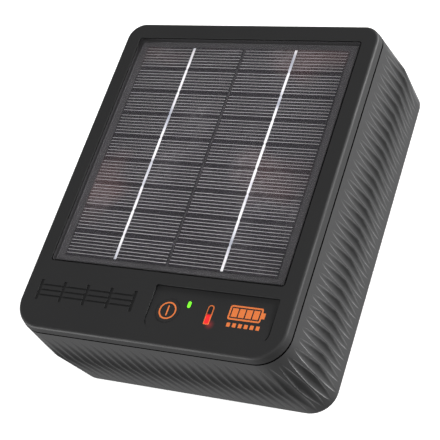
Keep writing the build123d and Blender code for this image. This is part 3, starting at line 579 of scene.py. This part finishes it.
def fluteTree():
    # a tapering round cutter for every flute, each laid against the wall by a ray
    tree, given = newTree("fluteCutters", [
        ("Wall", "NodeSocketObject", None), ("Count", "NodeSocketInt", 100),
        ("Radius", "NodeSocketFloat", 0.003), ("Depth", "NodeSocketFloat", 0.002),
        ("Skew", "NodeSocketFloat", 0.0), ("Back Reach", "NodeSocketFloat", 0.03),
        ("Rim Reach", "NodeSocketFloat", 0.03), ("Steps", "NodeSocketInt", 40),
        ("Sides", "NodeSocketInt", 20), ("Overrun", "NodeSocketFloat", 1.05),
        ("Material", "NodeSocketMaterial", None)])
    loop = addNode(tree, "GeometryNodeResampleCurve", {"Curve": given["Geometry"], "Count": given["Count"]})
    points = addNode(tree, "GeometryNodeCurveToPoints", {"Curve": loop.outputs[0]}, mode="EVALUATED")
    geometry = points.outputs["Points"]
    tangent = points.outputs["Tangent"]
    place = tree.nodes.new("GeometryNodeInputPosition").outputs[0]
    for label, value in (("onRidge", place), ("along", tangent)):
        stored = addNode(tree, "GeometryNodeStoreNamedAttribute",
                         {"Geometry": geometry, "Name": label, "Value": value}, data_type="FLOAT_VECTOR")
        geometry = stored.outputs[0]
    low = addNode(tree, "ShaderNodeCombineXYZ", {2: calc(tree, "MULTIPLY", given["Overrun"], -1.0)})
    high = addNode(tree, "ShaderNodeCombineXYZ", {2: given["Overrun"]})
    line = addNode(tree, "GeometryNodeCurvePrimitiveLine", {"Start": low.outputs[0], "End": high.outputs[0]})
    fine = addNode(tree, "GeometryNodeResampleCurve", {"Curve": line.outputs[0], "Count": given["Steps"]})
    copies = addNode(tree, "GeometryNodeInstanceOnPoints", {"Points": geometry, "Instance": fine.outputs[0]})
    real = addNode(tree, "GeometryNodeRealizeInstances", {0: copies.outputs[0]})

    def attribute(label):
        found = addNode(tree, "GeometryNodeInputNamedAttribute", {"Name": label}, data_type="FLOAT_VECTOR")
        return found.outputs[0]

    ridge, direction = attribute("onRidge"), attribute("along")
    # from -1 at the back end of a flute to +1 at its rim end
    offset = vectorCalc(tree, "SUBTRACT", place, ridge)
    along = addNode(tree, "ShaderNodeSeparateXYZ", {0: offset}).outputs[2]
    rise = calc(tree, "ADD", calc(tree, "MULTIPLY", calc(tree, "MAXIMUM", along, 0.0), given["Rim Reach"]),
                calc(tree, "MULTIPLY", calc(tree, "MINIMUM", along, 0.0), given["Back Reach"]))
    upward = addNode(tree, "ShaderNodeCombineXYZ", {2: rise}).outputs[0]
    outward = vectorCalc(tree, "CROSS_PRODUCT", direction, (0, 0, 1))
    lean = scaled(tree, direction, calc(tree, "MULTIPLY", along, calc(tree, "MULTIPLY", given["Skew"], -0.5)))
    line = vectorCalc(tree, "ADD", vectorCalc(tree, "ADD", ridge, lean), upward)
    origin = vectorCalc(tree, "ADD", line, scaled(tree, outward, flutes["castFrom"]))
    wall = addNode(tree, "GeometryNodeObjectInfo", {0: given["Wall"]}, transform_space="ORIGINAL")
    ray = addNode(tree, "GeometryNodeRaycast", {"Target Geometry": wall.outputs["Geometry"],
                                                "Source Position": origin,
                                                "Ray Direction": scaled(tree, outward, -1.0),
                                                "Ray Length": flutes["castLength"]})
    hit = ray.outputs["Hit Position"]
    fade = calc(tree, "SUBTRACT", 1.0, calc(tree, "ABSOLUTE", along))
    depth = calc(tree, "MULTIPLY", fade, given["Depth"])
    stand = scaled(tree, outward, calc(tree, "SUBTRACT", given["Radius"], depth))
    moved = addNode(tree, "GeometryNodeSetPosition",
                    {"Geometry": real.outputs[0], "Position": vectorCalc(tree, "ADD", hit, stand)})
    ring = addNode(tree, "GeometryNodeCurvePrimitiveCircle",
                   {"Resolution": given["Sides"], "Radius": given["Radius"]})
    tools = addNode(tree, "GeometryNodeCurveToMesh", {"Curve": moved.outputs[0],
                                                      "Profile Curve": ring.outputs[0], "Fill Caps": True})
    closeTree(tree, tools.outputs[0], given["Material"])
    return tree


def paintCrestHighlights(obj, wallTree):
    # a painted highlight: 1 along the sharp crest between two flutes on the long sides, less round the
    # corners and at the two ends, and fading to 0 down inside each flute
    mesh = obj.data
    crest = mesh.attributes.new("crest", "FLOAT", "CORNER")
    near = [wallTree.find_nearest(vertex.co) for vertex in mesh.vertices]
    for polygon in mesh.polygons:
        if wallTree.find_nearest(polygon.center)[3] < crests["onWall"]:
            continue
        for index in polygon.loop_indices:
            place, normal, face, distance = near[mesh.loops[index].vertex_index]
            turn = math.degrees(polygon.normal.angle(normal, 0.0))
            steep = min(max((turn - crests["flatter"]) / crests["steeper"], 0.0), 1.0)
            sideways = min(max((abs(normal.x) - crests["squareFrom"]) / crests["squareOver"], 0.0), 1.0)
            highlightShare = crests["cornerHighlight"] + (1.0 - crests["cornerHighlight"]) * sideways
            crest.data[index].value = highlightShare * steep * max(1.0 - distance / crests["reach"], 0.0)


def makeFlutedHousing():
    body = plainCopy(nodes["rear_housing"], "flutedHousing")
    bm = bmesh.new()
    bm.from_mesh(body.data)
    wallTree = BVHTree.FromBMesh(bm)
    bm.free()
    loop, count = ridgeLoop()
    tools = grow(loop, fluteTree(), {
        "Wall": body, "Count": count, "Radius": flutes["radius"], "Depth": flutes["depth"],
        "Skew": flutes["skew"], "Back Reach": flutes["ridgeAbove"] - flutes["backMargin"],
        "Rim Reach": caseHigh.z - caseLow.z - flutes["ridgeAbove"] - flutes["topMargin"],
        "Steps": flutes["steps"], "Sides": flutes["sides"], "Overrun": flutes["overrun"],
        "Material": materials["housingPlastic"]})
    cut = body.modifiers.new("flutes", "BOOLEAN")
    cut.operation = "DIFFERENCE"
    cut.solver = "MANIFOLD"
    cut.object = tools
    carved = bake(body, "flutedHousing")
    bpy.data.objects.remove(tools)
    dress(carved, materials["housingPlastic"])
    tidySlivers(carved, flutes["sliver"])
    smooth(carved, flutes["shadeAngle"], flutes["flatArea"])
    weigh = carved.modifiers.new("weigh", "WEIGHTED_NORMAL")
    weigh.keep_sharp = True
    carved = bake(carved, "flutedHousing")
    paintCrestHighlights(carved, wallTree)
    print("fluted housing:", count, "flutes,", len(carved.data.polygons), "faces")
    return carved


housing = makeFlutedHousing()
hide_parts("rear_housing")
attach(housing, "case")

panel = dict(rows=9, columns=2, rowGap=0.35 * mm, columnGap=0.8 * mm, fingersPerCell=7,
             fingerPitch=1.98 * mm, fingerLength=61.4 * mm, fingerWidth=0.30 * mm, fingerHeight=0.03 * mm,
             ribbonWidth=1.5 * mm, ribbonHeight=0.07 * mm, linkWidth=1.05 * mm, linkLength=1.2 * mm,
             linkLap=0.4 * mm, linkThinning=0.7, sway=0.009, seed=4)
panelMiddle = (cellsLow + cellsHigh) / 2
rowPitch = (cellsHigh.y - cellsLow.y + panel["rowGap"]) / panel["rows"]
columnPitch = (cellsHigh.x - cellsLow.x + panel["columnGap"]) / panel["columns"]
middleColumn = (panel["columns"] - 1) / 2


def fingerTree():
    tree, given = newTree("cellFingers", [
        ("Rows", "NodeSocketInt", 9), ("Fingers", "NodeSocketInt", 8), ("Pitch", "NodeSocketFloat", 0.002),
        ("Row Pitch", "NodeSocketFloat", 0.015), ("Column Pitch", "NodeSocketFloat", 0.06),
        ("Size", "NodeSocketVector", None), ("Middle", "NodeSocketVector", None),
        ("Material", "NodeSocketMaterial", None)])
    total = calc(tree, "MULTIPLY", given["Rows"], given["Fingers"])
    everyColumn = calc(tree, "MULTIPLY", total, float(panel["columns"]))
    line = addNode(tree, "GeometryNodeMeshLine", {"Count": everyColumn})
    index = tree.nodes.new("GeometryNodeInputIndex").outputs[0]
    column = calc(tree, "FLOOR", calc(tree, "DIVIDE", index, total))
    inColumn = calc(tree, "MODULO", index, total)
    row = calc(tree, "FLOOR", calc(tree, "DIVIDE", inColumn, given["Fingers"]))
    finger = calc(tree, "MODULO", inColumn, given["Fingers"])
    x = calc(tree, "MULTIPLY", calc(tree, "SUBTRACT", column, middleColumn), given["Column Pitch"])
    middleRow = calc(tree, "MULTIPLY", calc(tree, "SUBTRACT", given["Rows"], 1.0), 0.5)
    middleFinger = calc(tree, "MULTIPLY", calc(tree, "SUBTRACT", given["Fingers"], 1.0), 0.5)
    y = calc(tree, "ADD",
             calc(tree, "MULTIPLY", calc(tree, "SUBTRACT", row, middleRow), given["Row Pitch"]),
             calc(tree, "MULTIPLY", calc(tree, "SUBTRACT", finger, middleFinger), given["Pitch"]))
    spot = addNode(tree, "ShaderNodeCombineXYZ", {0: x, 1: y}).outputs[0]
    placed = addNode(tree, "GeometryNodeSetPosition",
                     {"Geometry": line.outputs[0],
                      "Position": vectorCalc(tree, "ADD", spot, given["Middle"])})
    bar = addNode(tree, "GeometryNodeMeshCube", {"Size": given["Size"]})
    copies = addNode(tree, "GeometryNodeInstanceOnPoints",
                     {"Points": placed.outputs[0], "Instance": bar.outputs[0]})
    closeTree(tree, copies.outputs[0], given["Material"])
    return tree


def makeFingers():
    holder = linkNew("cellFingers", bpy.data.meshes.new("cellFingers"))
    middle = (panelMiddle.x, panelMiddle.y, cellsHigh.z + panel["fingerHeight"] / 2)
    return grow(holder, fingerTree(), {
        "Rows": panel["rows"], "Fingers": panel["fingersPerCell"], "Pitch": panel["fingerPitch"],
        "Row Pitch": rowPitch, "Column Pitch": columnPitch,
        "Size": (panel["fingerLength"], panel["fingerWidth"], panel["fingerHeight"]), "Middle": middle,
        "Material": materials["silverPaste"]})


def ribbonTree():
    # one strip for each cell, each turned a hair differently, with a narrower link across each gap
    tree, given = newTree("cellRibbons", [
        ("Rows", "NodeSocketInt", 9), ("Row Pitch", "NodeSocketFloat", 0.015),
        ("Column Pitch", "NodeSocketFloat", 0.06), ("Strip", "NodeSocketVector", None),
        ("Link", "NodeSocketVector", None), ("Sway", "NodeSocketFloat", 0.01), ("Seed", "NodeSocketInt", 4),
        ("Middle", "NodeSocketVector", None), ("Material", "NodeSocketMaterial", None)])
    index = tree.nodes.new("GeometryNodeInputIndex").outputs[0]
    join = tree.nodes.new("GeometryNodeJoinGeometry")
    for size, extra in (("Strip", 0.0), ("Link", -1.0)):
        rows = calc(tree, "ADD", given["Rows"], extra)
        everyColumn = calc(tree, "MULTIPLY", rows, float(panel["columns"]))
        line = addNode(tree, "GeometryNodeMeshLine", {"Count": everyColumn})
        column = calc(tree, "FLOOR", calc(tree, "DIVIDE", index, rows))
        row = calc(tree, "MODULO", index, rows)
        x = calc(tree, "MULTIPLY", calc(tree, "SUBTRACT", column, middleColumn), given["Column Pitch"])
        middleRow = calc(tree, "MULTIPLY", calc(tree, "SUBTRACT", rows, 1.0), 0.5)
        y = calc(tree, "MULTIPLY", calc(tree, "SUBTRACT", row, middleRow), given["Row Pitch"])
        spot = addNode(tree, "ShaderNodeCombineXYZ", {0: x, 1: y}).outputs[0]
        placed = addNode(tree, "GeometryNodeSetPosition",
                         {"Geometry": line.outputs[0],
                          "Position": vectorCalc(tree, "ADD", spot, given["Middle"])})
        turn = addNode(tree, "FunctionNodeRandomValue",
                       {2: calc(tree, "MULTIPLY", given["Sway"], -1.0), 3: given["Sway"],
                        "Seed": given["Seed"]}, data_type="FLOAT").outputs[1]
        rotation = addNode(tree, "ShaderNodeCombineXYZ", {2: turn}).outputs[0]
        bar = addNode(tree, "GeometryNodeMeshCube", {"Size": given[size]})
        copies = addNode(tree, "GeometryNodeInstanceOnPoints",
                         {"Points": placed.outputs[0], "Instance": bar.outputs[0], "Rotation": rotation})
        tree.links.new(copies.outputs[0], join.inputs[0])
    closeTree(tree, join.outputs[0], given["Material"])
    return tree


def makeRibbons():
    holder = linkNew("tinnedRibbons", bpy.data.meshes.new("tinnedRibbons"))
    ribbonLevel = cellsHigh.z + panel["fingerHeight"] + panel["ribbonHeight"] / 2
    middle = (panelMiddle.x, panelMiddle.y, ribbonLevel)
    return grow(holder, ribbonTree(), {
        "Rows": panel["rows"], "Row Pitch": rowPitch, "Column Pitch": columnPitch,
        "Strip": (panel["ribbonWidth"], rowPitch - panel["linkLength"], panel["ribbonHeight"]),
        "Link": (panel["linkWidth"], panel["linkLength"] + panel["linkLap"],
                 panel["ribbonHeight"] * panel["linkThinning"]),
        "Sway": panel["sway"], "Seed": panel["seed"], "Middle": middle,
        "Material": materials["tinnedRibbon"]})


fingers = makeFingers()
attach(fingers, "case")
ribbons = makeRibbons()
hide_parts("busbar_ribbons")
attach(ribbons, "case")
print("panel:", len(fingers.data.polygons), "finger faces")

smoothPieces = {
    "front_cover": ("frontCoverShell", "coverPlastic", "cover_plastic", "case"),
    "power_key": ("powerKeyCap", "keyPlastic", "key_plastic", "power_button"),
    "fence_knob": ("fenceKnobCap", "redPlastic", "fence_red_plastic", "fence_turner"),
    "earth_knob": ("earthKnobCap", "greenPlastic", "earth_green_plastic", "earth_turner"),
    "left_rear_rail": ("leftRailPad", "railRubber", "rail_rubber", "case"),
    "right_rear_rail": ("rightRailPad", "railRubber", "rail_rubber", "case"),
    "vent_plug": ("ventPlugCap", "blackNylon", "black_nylon", "case"),
}
for node, (name, finish, slotName, body) in smoothPieces.items():
    piece = faceted(node, name)
    dress(piece, materials[finish])
    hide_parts(node)
    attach(piece, body)
nodes["solar_glass"].visible_shadow = False      # daylight reaches the cells through the glass
print("smooth pieces:", len(smoothPieces))

studio = dict(floorSize=30.0, floorColour=(0.80, 0.80, 0.80), floorGlow=0.62, skyStrength=0.27,
              lightTarget=(0, 0, 0.04))
lights = [
    # name, place, width and height in metres, power in watts
    ("rightStrip", (1.05, 0.85, 0.22), 1.1, 0.38, 56.0),
    ("frontStrip", (-0.85, -1.15, 0.22), 1.1, 0.38, 36.0),
    ("overheadBox", (0.5, -0.5, 1.6), 0.9, 0.9, 9.0),
]
view = dict(place=(0.32965, -0.29990, 0.59127), aim=(0.01024, -0.01999, 0.06), roll=-36.418, lens=104.74)


def makeFloor():
    mesh = bpy.data.meshes.new("studioFloor")
    half = studio["floorSize"] / 2
    mesh.from_pydata([(-half, -half, 0), (half, -half, 0), (half, half, 0), (-half, half, 0)], [],
                     [(0, 1, 2, 3)])
    floor = linkNew("studioFloor", mesh)
    material, tree, shader = startMaterial("studioPaper", Roughness=0.9)
    shader.inputs["Base Color"].default_value = (*studio["floorColour"], 1)
    shader.inputs["Emission Color"].default_value = (1, 1, 1, 1)
    shader.inputs["Emission Strength"].default_value = studio["floorGlow"]      # a light table
    dress(floor, material)
    floor.visible_diffuse = floor.visible_glossy = False      # keeps the pale floor out of the dark plastic


def makeLights():
    world = bpy.data.worlds.new("studioSky")
    world.use_nodes = True
    world.node_tree.nodes["Background"].inputs[0].default_value = (1, 1, 1, 1)
    world.node_tree.nodes["Background"].inputs[1].default_value = studio["skyStrength"]
    bpy.context.scene.world = world
    target = Vector(studio["lightTarget"])
    for name, place, width, height, power in lights:
        lamp = bpy.data.lights.new(name, "AREA")
        lamp.shape = "RECTANGLE"
        lamp.size, lamp.size_y = width, height
        lamp.energy = power
        obj = bpy.data.objects.new(name, lamp)
        bpy.context.scene.collection.objects.link(obj)
        obj.location = place
        obj.rotation_euler = (target - Vector(place)).to_track_quat("-Z", "Y").to_euler()


def makeCamera():
    camera = bpy.data.cameras.new("studioCamera")
    camera.lens = view["lens"]
    camera.clip_start = 0.02
    obj = bpy.data.objects.new("studioCamera", camera)
    bpy.context.scene.collection.objects.link(obj)
    place, aim = Vector(view["place"]), Vector(view["aim"])
    level = (aim - place).to_track_quat("-Z", "Y").to_matrix().to_4x4()
    roll = Matrix.Rotation(math.radians(view["roll"]), 4, "Z")
    obj.matrix_world = Matrix.Translation(place) @ level @ roll
    bpy.context.scene.camera = obj


makeFloor()
makeLights()
makeCamera()
bpy.context.scene.view_settings.view_transform = "Standard"
print("studio ready")
